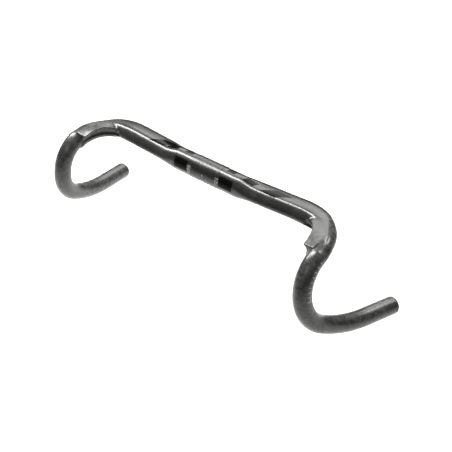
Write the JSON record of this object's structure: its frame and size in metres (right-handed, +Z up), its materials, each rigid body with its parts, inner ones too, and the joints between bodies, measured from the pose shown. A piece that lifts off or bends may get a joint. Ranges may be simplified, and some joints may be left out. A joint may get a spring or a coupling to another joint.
{
  "type": "drop handlebar",
  "caption": "Bare drop handlebar with a round stem clamp zone, flat backswept tops with cable channels, and flared compact drops with open ends.",
  "frame": {"origin": "centre of the stem clamp zone, on its axis", "axes": "+X along the clamp axis to the rider's right, +Y forwards, +Z up"},
  "size_m": [0.5218, 0.1591, 0.1608],
  "materials": {
    "satin_carbon": "satin clear coat over short-fibre carbon, faint mottling",
    "grip_coat": "fine gritty matt coat",
    "raw_carbon": "unpainted laminate",
    "print_grey": "printed film",
    "label_film": "smoked film"
  },
  "bodies": {
    "root": {"tops_moulding": "satin_carbon", "clamp_liner": "raw_carbon", "clamp_grip_band": "grip_coat", "centre_mark": "print_grey", "film_label": "label_film", "right_shoulder": "satin_carbon", "right_hook": "satin_carbon", "right_drop_end": "satin_carbon", "right_bond_spigot": "raw_carbon", "right_clamp_scale": "print_grey", "right_lever_scale": "print_grey", "left_shoulder": "satin_carbon", "left_hook": "satin_carbon", "left_drop_end": "satin_carbon", "left_bond_spigot": "raw_carbon", "left_clamp_scale": "print_grey", "left_lever_scale": "print_grey"}
  },
  "joints": []
}
